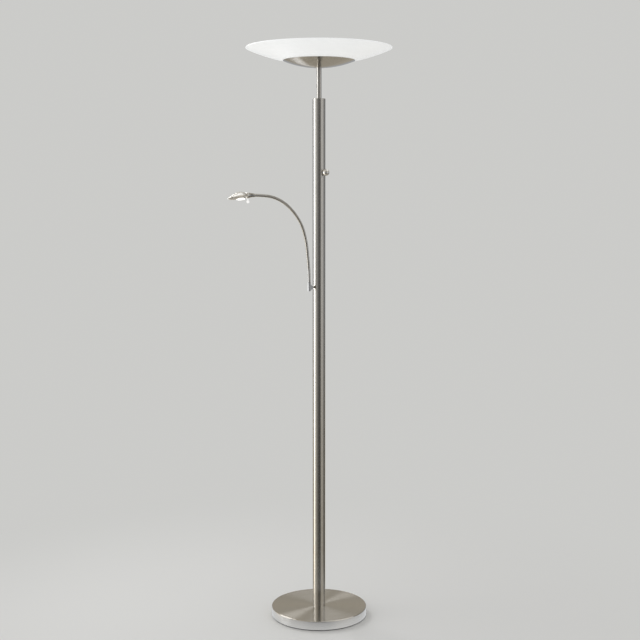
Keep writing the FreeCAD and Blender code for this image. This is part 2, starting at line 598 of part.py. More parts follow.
def diffuser_solid(radius, side, crown):
    foot = FLANGE_TOP
    sphere = (radius ** 2 + crown ** 2) / (2 * crown)
    shoulder = V(radius, 0, foot + side)
    peak = V(0, 0, foot + side + crown)
    middle = V(radius / 2, 0, peak.z - sphere + math.sqrt(sphere ** 2 - (radius / 2) ** 2))
    edges = [
        line(V(0, 0, foot), V(radius, 0, foot)),
        line(V(radius, 0, foot), shoulder),
        arc(shoulder, middle, peak),
        line(peak, V(0, 0, foot)),
    ]
    return turned(edges)


# ---- power supply and leads ----
def build_electrics():
    half_x = DRIVER_WIDTH / 2
    half_y = DRIVER_DEPTH / 2
    driver = block((-half_x, half_x), (-half_y, half_y), (PLUG_TOP, DRIVER_TOP))
    PARTS["power_supply"] = driver
    pad_top = DRIVER_TOP - COLLAR_PAD_DROP
    pad = disc(PLUG_RADIUS, pad_top - COLLAR_PAD_HEIGHT, pad_top)
    hold_x = half_x + SEAT_GAP
    hold_y = half_y + SEAT_GAP
    hollow = block((-hold_x, hold_x), (-hold_y, hold_y), (PLUG_TOP, DRIVER_TOP))
    PARTS["power_supply_pad"] = pad.cut(hollow)

    body_bottom = DIMMER_HEIGHT - DIMMER_BODY_HEIGHT / 2
    body_top = DIMMER_HEIGHT + DIMMER_BODY_HEIGHT / 2
    rise = (DRIVER_TOP + LEAD_END_GAP, body_bottom - LEAD_END_GAP)
    to_dimmer = disc(LEAD_RADIUS, rise[0], rise[1], 0, -LEAD_OFFSET)

    # From the dimmer the lead shifts to the pole's axis in two equal arcs, below the stem.
    start = V(0, -LEAD_OFFSET, body_top + LEAD_END_GAP)
    bend = V(0, -LEAD_OFFSET, start.z + LEAD_STRAIGHT)
    finish = V(0, 0, POLE_TOP - STEM_TAIL - LEAD_STRAIGHT)
    climb = (finish.z - bend.z) / 2
    middle = V(0, -LEAD_OFFSET / 2, bend.z + climb)
    bend_radius = (climb ** 2 + (LEAD_OFFSET / 2) ** 2) / LEAD_OFFSET
    turn = math.asin(climb / bend_radius)
    sag = bend_radius * (1 - math.cos(turn / 2))
    half_climb = bend_radius * math.sin(turn / 2)
    first = arc(bend, V(0, -LEAD_OFFSET + sag, bend.z + half_climb), middle)
    second = arc(middle, V(0, -sag, finish.z - half_climb), finish)
    lead_top = V(0, 0, FLANGE_TOP - LEAD_END_GAP)
    to_uplight = swept([line(start, bend), first, second, line(finish, lead_top)], LEAD_RADIUS)

    radius = ARM_LEAD_BEND_RADIUS
    corner = ARM_HEIGHT - radius
    knee = radius * (1 - math.sqrt(0.5))
    foot = V(0, 0, DRIVER_TOP + LEAD_END_GAP)
    straight = line(foot, V(0, 0, corner))
    quarter = arc(V(0, 0, corner), V(-knee, 0, ARM_HEIGHT - knee), V(-radius, 0, ARM_HEIGHT))
    last = line(V(-radius, 0, ARM_HEIGHT), V(-(STUB_INNER_END - LEAD_END_GAP), 0, ARM_HEIGHT))
    to_arm = swept([straight, quarter, last], LEAD_RADIUS)
    PARTS["pole_leads"] = Part.makeCompound([to_dimmer, to_uplight, to_arm])


# ---- dimmer ----
def dimmer_block(gap):
    """The dimmer's body, grown by a gap on every side."""
    half_x = DIMMER_BODY_WIDTH / 2 + gap
    half_z = DIMMER_BODY_HEIGHT / 2 + gap
    return block((-half_x, half_x), (-DIMMER_FACE - gap, -DIMMER_FACE + DIMMER_BODY_DEPTH + gap),
                 (DIMMER_HEIGHT - half_z, DIMMER_HEIGHT + half_z))


def build_dimmer():
    def out(distance, height=DIMMER_HEIGHT):
        return V(0, -distance, height)

    thread_length = DIMMER_NUT_FRONT - DIMMER_FACE + PAST
    thread = rod(DIMMER_THREAD_RADIUS, out(DIMMER_FACE - PAST), KNOB_SIDE, thread_length)
    body = joined([dimmer_block(0.0), thread])
    shaft_back = DIMMER_FACE - SHAFT_IN_BODY
    bearing = rod(DIMMER_SHAFT_RADIUS + RUNNING_FIT, out(shaft_back - MOVING_GAP), KNOB_SIDE, KNOB_BACK)
    PARTS["dimmer_body"] = body.cut(bearing)
    nut_bore = DIMMER_THREAD_RADIUS + THREAD_GAP
    PARTS["dimmer_nut"] = nut(DIMMER_NUT_FLATS, nut_bore, out(DIMMER_NUT_BACK), KNOB_SIDE,
                              DIMMER_NUT_THICKNESS)
    shaft_end = KNOB_BACK + SHAFT_IN_KNOB
    PARTS["dimmer_shaft"] = rod(DIMMER_SHAFT_RADIUS, out(shaft_back), KNOB_SIDE, shaft_end - shaft_back)

    ball_centre = KNOB_BACK + math.sqrt(KNOB_BALL_RADIUS ** 2 - KNOB_BACK_RADIUS ** 2)
    ball = Part.makeSphere(KNOB_BALL_RADIUS, out(ball_centre))
    ball = ball.cut(rod(KNOB_BALL_RADIUS * 2, out(KNOB_BACK), BACK, KNOB_BALL_RADIUS * 2))
    bore_length = SHAFT_IN_KNOB + SEAT_GAP + PAST
    bore = rod(DIMMER_SHAFT_RADIUS + SEAT_GAP, out(KNOB_BACK - PAST), KNOB_SIDE, bore_length)
    PARTS["dimmer_knob"] = ball.cut(bore)


# ---- arm bracket and swivel ----
def build_bracket():
    def out(distance, height=ARM_HEIGHT, side=0.0):
        return V(-distance, side, height)

    boss_start = POLE_RADIUS + SEAT_GAP
    tail = rod(STUB_TAIL_RADIUS, out(STUB_INNER_END), ARM_SIDE, boss_start - STUB_INNER_END + PAST)
    boss = rod(STUB_BOSS_RADIUS, out(boss_start), ARM_SIDE, STUB_BOSS_LENGTH)
    stub = rod(STUB_RADIUS, out(boss_start), ARM_SIDE, ARM_REACH - boss_start)

    # A blade that spreads from the stub to the socket along concave edges.
    tall = GUSSET_RISE
    wide_end = ARM_REACH - SOCKET_RADIUS / 2
    half = GUSSET_THICKNESS / 2
    middle = (GUSSET_START + wide_end) / 2
    dip = STUB_RADIUS + (tall - STUB_RADIUS) * GUSSET_MIDDLE_SHARE
    corners = [out(GUSSET_START, ARM_HEIGHT + STUB_RADIUS, -half), out(wide_end, ARM_HEIGHT + tall, -half),
               out(wide_end, ARM_HEIGHT - tall, -half), out(GUSSET_START, ARM_HEIGHT - STUB_RADIUS, -half)]
    edges = [
        arc(corners[0], out(middle, ARM_HEIGHT + dip, -half), corners[1]),
        line(corners[1], corners[2]),
        arc(corners[2], out(middle, ARM_HEIGHT - dip, -half), corners[3]),
        line(corners[3], corners[0]),
    ]
    gusset = Part.Face(Part.Wire(edges)).extrude(V(0, GUSSET_THICKNESS, 0))
    socket = disc(SOCKET_RADIUS, SOCKET_BOTTOM, SOCKET_TOP, -ARM_REACH)
    bracket = joined([socket, stub, boss, tail, gusset])
    bearing = disc(SPIGOT_RADIUS + RUNNING_FIT, SOCKET_BOTTOM - PAST, SOCKET_TOP + PAST, -ARM_REACH)
    bracket = bracket.cut(bearing)
    counterbore_top = SOCKET_BOTTOM + COUNTERBORE_DEPTH
    head_room = SWIVEL_SCREW_HEAD_RADIUS + MOVING_GAP
    bracket = bracket.cut(disc(head_room, SOCKET_BOTTOM - PAST, counterbore_top, -ARM_REACH))
    wire_length = ARM_REACH - STUB_INNER_END + PAST
    wire_bore = rod(STUB_BORE_RADIUS, out(STUB_INNER_END - PAST), ARM_SIDE, wire_length)
    PARTS["arm_bracket"] = bracket.cut(wire_bore)
    nut_start = out(POLE_INNER_RADIUS - SEAT_GAP - BRACKET_NUT_THICKNESS - nut_sagitta())
    PARTS["bracket_nut"] = nut(BRACKET_NUT_FLATS, STUB_TAIL_RADIUS + THREAD_GAP, nut_start, ARM_SIDE,
                               BRACKET_NUT_THICKNESS)

    ferrule = disc(SOCKET_RADIUS, FERRULE_BOTTOM, FERRULE_TOP, -ARM_REACH)
    ferrule = ferrule.makeFillet(FERRULE_EDGE_RADIUS, [ferrule.Edges[0]])
    spigot = disc(SPIGOT_RADIUS, counterbore_top, FERRULE_BOTTOM + PAST, -ARM_REACH)
    ferrule = joined([ferrule, spigot])
    bore_bottom = ARM_HEIGHT - WIRE_WINDOW_HALF_HEIGHT
    ferrule = ferrule.cut(disc(STUB_BORE_RADIUS, bore_bottom, FERRULE_TOP + PAST, -ARM_REACH))
    root_hole = disc(ROOT_RADIUS + SEAT_GAP, FERRULE_TOP - ROOT_DEPTH, FERRULE_TOP + PAST, -ARM_REACH)
    ferrule = ferrule.cut(root_hole)
    # The wires enter through a half-round window that faces the stub.
    window = block((-ARM_REACH, -ARM_REACH + SOCKET_RADIUS), (-SOCKET_RADIUS, SOCKET_RADIUS),
                   (bore_bottom, ARM_HEIGHT + WIRE_WINDOW_HALF_HEIGHT))
    ferrule = ferrule.cut(window)
    screw_hole_top = counterbore_top + SWIVEL_SCREW_LENGTH + THREAD_GAP
    tapped = disc(SWIVEL_SCREW_RADIUS + THREAD_GAP, counterbore_top - PAST, screw_hole_top, -ARM_REACH)
    PARTS["swivel_ferrule"] = ferrule.cut(tapped)

    head_top = counterbore_top - MOVING_GAP
    head = disc(SWIVEL_SCREW_HEAD_RADIUS, head_top - SWIVEL_SCREW_HEAD_HEIGHT, head_top, -ARM_REACH)
    shank = disc(SWIVEL_SCREW_RADIUS, head_top - PAST, counterbore_top + SWIVEL_SCREW_LENGTH, -ARM_REACH)
    PARTS["swivel_screw"] = joined([head, shank])


def nut_sagitta():
    """How far a flat nut stands off the pole's round inside wall at its corners."""
    corner = BRACKET_NUT_FLATS / math.sqrt(3)
    return POLE_INNER_RADIUS - math.sqrt(POLE_INNER_RADIUS ** 2 - corner ** 2)


# ---- gooseneck ----
def neck_direction(angle):
    """Unit vector in the arm's plane, angle in degrees from straight up towards -X."""
    turn = math.radians(angle)
    return V(-math.sin(turn), 0, math.cos(turn))


def neck_joints():
    """The centre and direction of each end of each link, from the ferrule up."""
    places = [(V(-ARM_REACH, 0, FERRULE_TOP), 0.0)]
    for turn in LINK_TURNS:
        point, angle = places[-1]
        radius = LINK_LENGTH / math.radians(turn)
        centre = point + neck_direction(angle + 90) * radius
        end_angle = angle + turn
        places.append((centre - neck_direction(end_angle + 90) * radius, end_angle))
    return places


def neck_arc(place, turn, radius, skipped=0.0):
    """A bent rod along one link, less the skipped degrees at its start."""
    point, angle = place
    bend_radius = LINK_LENGTH / math.radians(turn)
    centre = point + neck_direction(angle + 90) * bend_radius
    first = angle + skipped
    start = centre - neck_direction(first + 90) * bend_radius
    section = Part.Face(Part.Wire(Part.makeCircle(radius, start, neck_direction(first))))
    return section.revolve(centre, KNOB_SIDE, turn - skipped)


def build_gooseneck():
    places = neck_joints()
    swing = math.radians(NECK_SWING)
    # The lip swings past the next link's shoulder and keeps MOVING_GAP from it.
    shoulder = SOCKET_LIP * math.cos(swing) + NECK_RADIUS * math.sin(swing) + MOVING_GAP
    last = len(LINK_TURNS) - 1
    for k, turn in enumerate(LINK_TURNS):
        start, start_angle = places[k]
        end, end_angle = places[k + 1]
        forward = neck_direction(start_angle)
        onward = neck_direction(end_angle)
        # Bores run from past each end of the link and meet the bent bore square on.
        past = BALL_RADIUS + MOVING_GAP + PAST
        if k == 0:
            link = neck_arc(places[k], turn, NECK_RADIUS)
            root_depth = ROOT_DEPTH - SEAT_GAP
            link = link.fuse(rod(ROOT_RADIUS, start - forward * root_depth, forward, root_depth))
            past = ROOT_DEPTH + PAST
        else:
            link = neck_arc(places[k], turn, NECK_RADIUS, turn * shoulder / LINK_LENGTH)
            link = link.fuse(rod(BALL_NECK_RADIUS, start, forward, shoulder + PAST))
            link = link.fuse(Part.makeSphere(BALL_RADIUS, start))
        lead_in = rod(NECK_BORE_RADIUS, start - forward * past, forward, past)
        if k == last:
            spigot = rod(END_SPIGOT_RADIUS, end, onward, END_SPIGOT_LENGTH)
            groove_start = end + onward * (END_GROOVE_AT - END_GROOVE_WIDTH / 2)
            groove = rod(END_SPIGOT_RADIUS + PAST, groove_start, onward, END_GROOVE_WIDTH)
            core = rod(END_GROOVE_RADIUS, groove_start - onward * PAST, onward, END_GROOVE_WIDTH + 2 * PAST)
            groove = groove.cut(core)
            link = link.fuse(spigot.cut(groove))
            lead_out = rod(NECK_BORE_RADIUS, end, onward, END_SPIGOT_LENGTH + PAST)
        else:
            link = link.fuse(rod(NECK_RADIUS, end, onward, SOCKET_LIP))
            link = link.cut(Part.makeSphere(BALL_RADIUS + MOVING_GAP, end))
            lead_out = None
        bore = neck_arc(places[k], turn, NECK_BORE_RADIUS).fuse(lead_in)
        if lead_out:
            bore = bore.fuse(lead_out)
        PARTS[f"gooseneck_link_{k + 1}"] = link.cut(bore)


# ---- reading head ----
def neck_end_placement():
    """Maps +x to the neck's outward end direction and +z to its upper side."""
    point, angle = neck_joints()[-1]
    facing = Rotation(KNOB_SIDE, angle - 90) * Rotation(UP, 180)
    return Placement(point, facing)


def head_placement():
    """The rim plane's frame: x towards the tip, z through the top shell."""
    tilt = Rotation(BACK, HEAD_PITCH) * Rotation(V(1, 0, 0), HEAD_ROLL)
    return neck_end_placement().multiply(Placement(V(HEAD_PITCH_CENTRE, 0, -HEAD_DROP), tilt))


def rolled_neck_placement():
    """The neck's end frame, turned with the collar's roll."""
    return neck_end_placement().multiply(Placement(ORIGIN, Rotation(V(1, 0, 0), COLLAR_ROLL)))


def lens_placement():
    """In the rim plane's frame: z along the lens axis, which leans towards the tip."""
    return Placement(V(HEAD_TIP_X - LENS_FROM_TIP, 0, 0), Rotation(BACK, -LENS_TILT))


def placed(shape, placement):
    moved = shape.copy()
    moved.transformShape(placement.toMatrix(), True)
    return moved


def head_section(distance, half_width, height):
    """A half ellipse over the rim plane, closed along it, as one wire."""
    x = HEAD_TIP_X - distance
    left = V(x, half_width, 0)
    right = V(x, -half_width, 0)
    if abs(height) > half_width:
        major, minor, main_axis = abs(height), half_width, V(0, 0, math.copysign(1, height))
    else:
        major, minor, main_axis = half_width, abs(height), V(0, 1, 0)
    centre = V(x, 0, 0)
    side_axis = main_axis.cross(V(1, 0, 0))
    ellipse = Part.Ellipse(centre + main_axis * major, centre + side_axis * minor, centre)
    top = V(x, 0, height)
    ends = sorted((ellipse.parameter(left), ellipse.parameter(right)))
    curve = ellipse.toShape(ends[0], ends[1])
    if curve.distToShape(Part.Vertex(top))[0] > SMALLEST_SECTION / 2:
        curve = ellipse.toShape(ends[1], ends[0] + 2 * math.pi)
    return Part.Wire(Part.__sortEdges__([curve, line(left, right)]))


def head_form(inset, column):
    """The lofted half form over the rim plane, or the half below it."""
    side = 1 if column == TOP_COLUMN else -1
    wires = []
    for station in HEAD_STATIONS:
        deep = station[column] - inset
        wide = station[1] - inset
        if min(deep, wide) < SMALLEST_SECTION:
            continue
        # A hollow form runs out past the open rear end.
        past_end = PAST if inset and station is HEAD_STATIONS[-1] else 0.0
        wires.append(head_section(station[0] + past_end, wide, side * deep))
    return Part.makeLoft(wires, True, False)


def rear_rim_x():
    return HEAD_TIP_X - HEAD_LENGTH


def build_head_shells():
    outer = head_form(0.0, TOP_COLUMN)
    inner = head_form(HEAD_WALL, TOP_COLUMN)
    shell = outer.cut(inner)
    down = V(0, 0, -1)
    bosses = []
    screws = []
    for distance in COVER_SCREWS_FROM_TIP:
        x = HEAD_TIP_X - distance
        boss = rod(BOSS_RADIUS, V(x, 0, RIM_SEAM), UP, HEAD_LENGTH).common(outer)
        bosses.append(boss)
    shell = joined([shell] + bosses)
    underside = head_form(0.0, UNDERSIDE_COLUMN)
    cover = underside.cut(head_form(HEAD_WALL, UNDERSIDE_COLUMN))
    # The bezel is a wedge: its lower face is square to the lens, its upper one to the rim.
    bezel_hole = LENS_RADIUS + LENS_FIT
    bezel_foot = V(0, 0, -BEZEL_DEPTH)
    bezel = placed(rod(bezel_hole + BEZEL_WALL, bezel_foot, UP, HEAD_LENGTH), lens_placement())
    reach = (-HEAD_LENGTH, HEAD_LENGTH)
    cover = cover.fuse(bezel.cut(block(reach, reach, (-BEZEL_SEAM, HEAD_LENGTH))))
    opening = rod(bezel_hole, bezel_foot - UP * PAST, UP, HEAD_LENGTH)
    cover = cover.cut(placed(opening, lens_placement()))
    for distance in COVER_SCREWS_FROM_TIP:
        x = HEAD_TIP_X - distance
        depth = underside_depth(distance)
        # The post grows from inside the skin, so that its foot stays under the surface.
        post_foot = HEAD_WALL * POST_ROOT_SHARE - depth
        cover = cover.fuse(rod(BOSS_RADIUS, V(x, 0, post_foot), UP, -RIM_SEAM - post_foot))
        shank_hole = rod(COVER_SCREW_RADIUS + HOLE_GAP / 2, V(x, 0, PAST), down, depth + 2 * PAST)
        cover = cover.cut(shank_hole)
        seat = COVER_SCREW_HEAD_HEIGHT - depth
        cover = cover.cut(rod(COVER_SCREW_HEAD_RADIUS + HOLE_GAP / 2, V(x, 0, seat), down, depth))
        tapped_top = seat + COVER_SCREW_LENGTH + COVER_SCREW_TIP_GAP
        tapped = rod(COVER_SCREW_RADIUS + THREAD_GAP, V(x, 0, -PAST), UP, tapped_top + PAST)
        shell = shell.cut(tapped)
        shank = rod(COVER_SCREW_RADIUS, V(x, 0, seat), UP, COVER_SCREW_LENGTH)
        head_bottom = COVER_SCREW_RECESS - depth
        head = rod(COVER_SCREW_HEAD_RADIUS, V(x, 0, head_bottom), UP, seat - head_bottom)
        screws.append(joined([shank, head]))
    frame = head_placement()
    PARTS["reading_head_shell"] = placed(shell, frame)
    PARTS["reading_head_cover"] = placed(cover, frame)
    PARTS["reading_head_screws"] = placed(Part.makeCompound(screws), frame)


def station_value(distance, column):
    for low, high in zip(HEAD_STATIONS, HEAD_STATIONS[1:]):
        if low[0] <= distance <= high[0]:
            share = (distance - low[0]) / (high[0] - low[0])
            return low[column] + share * (high[column] - low[column])
    return HEAD_STATIONS[-1][column]


def underside_depth(distance):
    return station_value(distance, UNDERSIDE_COLUMN)


def build_reading_light():
    frame = head_placement().multiply(lens_placement())
    crown_sphere = (LENS_RADIUS ** 2 + LENS_CROWN ** 2) / (2 * LENS_CROWN)
    low = -LENS_DROP
    edge = low + LENS_CROWN
    top = low + LENS_THICKNESS + LENS_CROWN
    half = LENS_RADIUS / 2
    half_height = low + crown_sphere - math.sqrt(crown_sphere ** 2 - half ** 2)
    edges = [
        arc(V(0, 0, low), V(half, 0, half_height), V(LENS_RADIUS, 0, edge)),
        line(V(LENS_RADIUS, 0, edge), V(LENS_RADIUS, 0, top)),
        line(V(LENS_RADIUS, 0, top), V(0, 0, top)),
        line(V(0, 0, top), V(0, 0, low)),
    ]
    PARTS["reading_lens"] = placed(turned(edges), frame)
    chip_bottom = top + CHIP_TO_LENS_GAP
    board_bottom = chip_bottom + READING_CHIP_HEIGHT
    sink_bottom = board_bottom + READING_BOARD_THICKNESS
    sink_top = sink_bottom + READING_SINK_THICKNESS
    chip = rod(READING_CHIP_RADIUS, V(0, 0, chip_bottom), UP, READING_CHIP_HEIGHT)
    board = rod(READING_BOARD_RADIUS, V(0, 0, board_bottom), UP, READING_BOARD_THICKNESS)
    PARTS["reading_chip"] = placed(chip, frame)
    PARTS["reading_board"] = placed(board, frame)
    plate = rod(LENS_RADIUS + LENS_FIT - SEAT_GAP, V(0, 0, sink_bottom), UP, READING_SINK_THICKNESS)
    post = rod(READING_SINK_POST_RADIUS, V(0, 0, sink_top - PAST), UP, HEAD_LENGTH)
    post = placed(post, lens_placement()).common(head_form(HEAD_WALL + MOVING_GAP, TOP_COLUMN))
    sink = joined([placed(plate, lens_placement()), post])
    PARTS["reading_heat_sink"] = placed(sink, head_placement())


def build_collar():
    bore_radius = END_SPIGOT_RADIUS + RUNNING_FIT
    hollow_radius = COLLAR_BIG_RADIUS - COLLAR_WALL
    flare_middle = (COLLAR_SMALL_LENGTH + COLLAR_FLARE_END) / 2
    flare_mean = (COLLAR_SMALL_RADIUS + COLLAR_BIG_RADIUS) / 2 - COLLAR_FLARE_SAG
    forward = V(1, 0, 0)

    def at(x, radius):
        return V(x, 0, radius)

    edges = [
        line(at(MOVING_GAP, 0), at(MOVING_GAP, COLLAR_SMALL_RADIUS)),
        line(at(MOVING_GAP, COLLAR_SMALL_RADIUS), at(COLLAR_SMALL_LENGTH, COLLAR_SMALL_RADIUS)),
        arc(at(COLLAR_SMALL_LENGTH, COLLAR_SMALL_RADIUS), at(flare_middle, flare_mean),
            at(COLLAR_FLARE_END, COLLAR_BIG_RADIUS)),
        line(at(COLLAR_FLARE_END, COLLAR_BIG_RADIUS), at(COLLAR_END, COLLAR_BIG_RADIUS)),
        line(at(COLLAR_END, COLLAR_BIG_RADIUS), at(COLLAR_END, 0)),
        line(at(COLLAR_END, 0), at(MOVING_GAP, 0)),
    ]
    collar = turned(edges, ORIGIN, forward)
    collar = collar.cut(rod(bore_radius, ORIGIN, forward, END_SPIGOT_LENGTH + MOVING_GAP))
    collar = collar.cut(rod(NECK_BORE_RADIUS, ORIGIN, forward, COLLAR_END))
    collar = collar.cut(rod(hollow_radius, V(COLLAR_WEB_END, 0, 0), forward, COLLAR_END))
    away = V(0, -1, 0)
    grub_tip = END_GROOVE_RADIUS + MOVING_GAP
    grub_outer = COLLAR_SMALL_RADIUS
    tapped = rod(GRUB_RADIUS + THREAD_GAP, V(END_GROOVE_AT, 0, 0), away, COLLAR_BIG_RADIUS + PAST)
    collar = collar.cut(tapped)
    grub = rod(GRUB_RADIUS, V(END_GROOVE_AT, -grub_tip, 0), away, grub_outer - grub_tip)
    frame = rolled_neck_placement()
    PARTS["head_collar"] = placed(collar, frame)
    PARTS["collar_grub_screw"] = placed(grub, frame)

    # The ring fills the wedge between the collar and the pitched shell, and a web closes its end.
    tube = rod(RING_RADIUS, V(COLLAR_END, 0, 0), forward, RING_BLANK_LENGTH)
    web = SWITCH_FROM_NECK + SWITCH_THREAD_RADIUS + MOVING_GAP
    ring_bore = rod(hollow_radius, V(COLLAR_END - PAST, 0, 0), forward, web - COLLAR_END + PAST)
    wire_hole = rod(NECK_BORE_RADIUS, V(web - PAST, 0, 0), forward, RING_BLANK_LENGTH)
    tube = tube.cut(ring_bore).cut(wire_hole)
    knob_axis = V(SWITCH_FROM_NECK, 0, 0)
    hole = rod(SWITCH_THREAD_RADIUS + SEAT_GAP, knob_axis, V(0, 0, -1), RING_RADIUS + PAST)
    tube = placed(tube.cut(hole), frame)
    reach = (-HEAD_LENGTH, HEAD_LENGTH)
    shell_space = block((rear_rim_x() - SEAT_GAP, HEAD_TIP_X), reach, reach)
    PARTS["head_joint_ring"] = tube.cut(placed(shell_space, head_placement()))


def build_switch():
    frame = rolled_neck_placement()
    x = SWITCH_FROM_NECK
    down = V(0, 0, -1)
    inner_radius = COLLAR_BIG_RADIUS - COLLAR_WALL
    # The body hangs in the ring on its threaded neck, clear of the round wall.
    half_width = SWITCH_BODY_WIDTH / 2
    body_low = -math.sqrt(inner_radius ** 2 - half_width ** 2) + SEAT_GAP
    body_end = x + SWITCH_THREAD_RADIUS
    body = block((body_end - SWITCH_BODY_LENGTH, body_end), (-half_width, half_width),
                 (body_low, body_low + SWITCH_BODY_HEIGHT))
    thread_end = -(SWITCH_KNOB_TOP - MOVING_GAP)
    thread = rod(SWITCH_THREAD_RADIUS, V(x, 0, body_low + PAST), down, body_low + PAST - thread_end)
    body = joined([body, thread])
    shaft_top = body_low + SWITCH_BODY_HEIGHT - SWITCH_BODY_ROOF
    bearing = rod(SWITCH_SHAFT_RADIUS + RUNNING_FIT, V(x, 0, shaft_top + MOVING_GAP), down, COLLAR_END)
    PARTS["reading_switch_body"] = placed(body.cut(bearing), frame)

    knob_top = -SWITCH_KNOB_TOP
    knob_low = knob_top - SWITCH_KNOB_LENGTH
    ball_centre = knob_low + SWITCH_KNOB_BALL_RADIUS
    neck = SWITCH_KNOB_NECK_RADIUS
    ball = SWITCH_KNOB_BALL_RADIUS
    # A drop: a straight neck, a flare onto the ball's widest ring, then the ball.
    flare_start = ball_centre + SWITCH_KNOB_FLARE_LENGTH
    waist_z = (flare_start + ball_centre) / 2
    waist = neck + (ball - neck) * SWITCH_KNOB_WAIST_SHARE
    edges = [
        line(V(0, 0, knob_top), V(neck, 0, knob_top)),
        line(V(neck, 0, knob_top), V(neck, 0, flare_start)),
        arc(V(neck, 0, flare_start), V(waist, 0, waist_z), V(ball, 0, ball_centre)),
        arc(V(ball, 0, ball_centre), V(ball * math.sqrt(0.5), 0, ball_centre - ball * math.sqrt(0.5)),
            V(0, 0, knob_low)),
        line(V(0, 0, knob_low), V(0, 0, knob_top)),
    ]
    knob = turned(edges).translated(V(x, 0, 0))
    shaft_low = knob_top - SWITCH_SHAFT_IN_KNOB
    knob = knob.cut(rod(SWITCH_SHAFT_RADIUS + SEAT_GAP, V(x, 0, shaft_low - SEAT_GAP), UP,
                        SWITCH_SHAFT_IN_KNOB + PAST))
    PARTS["reading_switch_knob"] = placed(knob, frame)
    shaft = rod(SWITCH_SHAFT_RADIUS, V(x, 0, shaft_low), UP, shaft_top - shaft_low)
    PARTS["reading_switch_shaft"] = placed(shaft, frame)


build_base()
build_cord_inlet()
build_pole()
build_cup()
build_glass()
build_uplight()
build_electrics()
build_dimmer()
build_bracket()
build_gooseneck()
build_head_shells()
build_reading_light()
build_collar()
build_switch()

os.makedirs("parts", exist_ok=True)
for name, shape in PARTS.items():
    shape.exportStep(f"parts/{name}.step")
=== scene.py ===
import json
import math

import bpy
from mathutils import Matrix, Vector


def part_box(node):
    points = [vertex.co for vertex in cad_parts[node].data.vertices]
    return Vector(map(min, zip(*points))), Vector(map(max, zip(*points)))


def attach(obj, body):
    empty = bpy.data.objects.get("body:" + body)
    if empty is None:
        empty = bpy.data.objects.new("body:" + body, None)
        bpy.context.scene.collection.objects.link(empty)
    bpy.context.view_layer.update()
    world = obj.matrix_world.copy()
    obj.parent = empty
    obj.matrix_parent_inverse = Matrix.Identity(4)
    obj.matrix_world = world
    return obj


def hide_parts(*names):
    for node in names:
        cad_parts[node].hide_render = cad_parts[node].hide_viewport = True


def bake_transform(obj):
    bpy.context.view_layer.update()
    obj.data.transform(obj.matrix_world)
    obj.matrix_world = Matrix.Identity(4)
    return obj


# Looks of a torchiere floor lamp with a gooseneck reading light, in metres.
# The reading arm leaves the pole towards -X, and the dimmer knob faces -Y.

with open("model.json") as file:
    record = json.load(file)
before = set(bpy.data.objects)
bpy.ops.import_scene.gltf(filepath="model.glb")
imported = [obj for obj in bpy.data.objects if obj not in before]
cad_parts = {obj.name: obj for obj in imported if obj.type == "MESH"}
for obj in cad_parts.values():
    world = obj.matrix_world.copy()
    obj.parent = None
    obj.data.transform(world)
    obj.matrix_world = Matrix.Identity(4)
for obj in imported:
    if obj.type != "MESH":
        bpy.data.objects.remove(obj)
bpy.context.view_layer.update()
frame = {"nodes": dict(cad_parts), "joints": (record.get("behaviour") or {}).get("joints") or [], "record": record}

# ---- the photograph's view ----
IMAGE_WIDTH = 640            # pixels
FOCAL_LENGTH = 1159.0        # pixels
POLE_COLUMN = 319.0          # pixel column of the pole's axis
SENSOR_WIDTH = 36.0          # mm
CAMERA_DISTANCE = 3.6935     # from the pole's axis, along the floor
CAMERA_HEIGHT = 1.3729
CAMERA_TILT = 0.107847       # radians, downwards
CAMERA_AZIMUTH = -45.0       # degrees, 0 looks along +Y

# ---- light ----
BACKDROP = (0.60, 0.60, 0.585)
AMBIENT = 0.62
KEY_SIDE = -86.0             # degrees round the lamp from the camera, left is negative
KEY_SIZE = (1.2, 2.4)
KEY_DISTANCE = 2.3
KEY_HEIGHT = 1.25
KEY_POWER = 11.0             # W
KEY_SHARES = (1.0, 0.7)      # what matt surfaces and bright ones get of it
TOP_SIDE = -141.0            # high up behind the lamp: it draws the streak across the base
TOP_DISTANCE = 2.8
TOP_SIZE = (1.3, 1.3)
TOP_HEIGHT = 3.2
TOP_AIM_HEIGHT = 1.0
TOP_POWER = 26.0             # W
TOP_SHARES = (0.1, 1.0)
FLOOR_RADIUS = 6.0
FLOOR_SIDES = 96
FLOOR_COLOUR = (0.8, 0.8, 0.785, 1.0)
FLOOR_FADE = (0.3, 1.6)      # where the floor's own shading gives way to the backdrop
WARM = (1.0, 0.92, 0.77)     # tint of what metal sees high up and on the floor
COOL = (0.96, 0.985, 1.03)   # and near the horizon

# What bright metal sees: degrees round the lamp from the camera, left to right, and how bright.
STUDIO_PROFILE = (
    (-180, 0.42), (-140, 0.40), (-112, 0.50), (-98, 2.9), (-80, 2.8), (-68, 1.0),
    (-57, 0.80), (-46, 0.70), (-27, 0.34), (-9, 0.20), (9, 0.14), (24, 0.16),
    (36, 0.46), (46, 0.80), (64, 0.78), (84, 0.50), (104, 0.34), (128, 0.22),
    (145, 0.34), (160, 0.42), (180, 0.42),
)
# The same for metal that looks down at the floor.
FLOOR_PROFILE = (
    (-180, 0.46), (-172, 0.38), (-140, 0.36), (-110, 0.5), (-98, 2.1), (-84, 2.1),
    (-71, 0.5), (-46, 0.32), (-27, 0.14), (-9, 0.06), (9, 0.03), (24, 0.05),
    (36, 0.26), (46, 0.42), (64, 0.40), (84, 0.30), (95, 0.15), (104, 0.04),
    (124, 0.04), (138, 0.40), (160, 0.50), (180, 0.46),
)
CALM_TONE = 0.62             # no band is brighter than this above the horizon
CALM_RISE = (0.05, 0.13)     # sine of the height where that begins
WARM_RISE = (0.16, 0.28)     # sine of the height where the bands turn warm
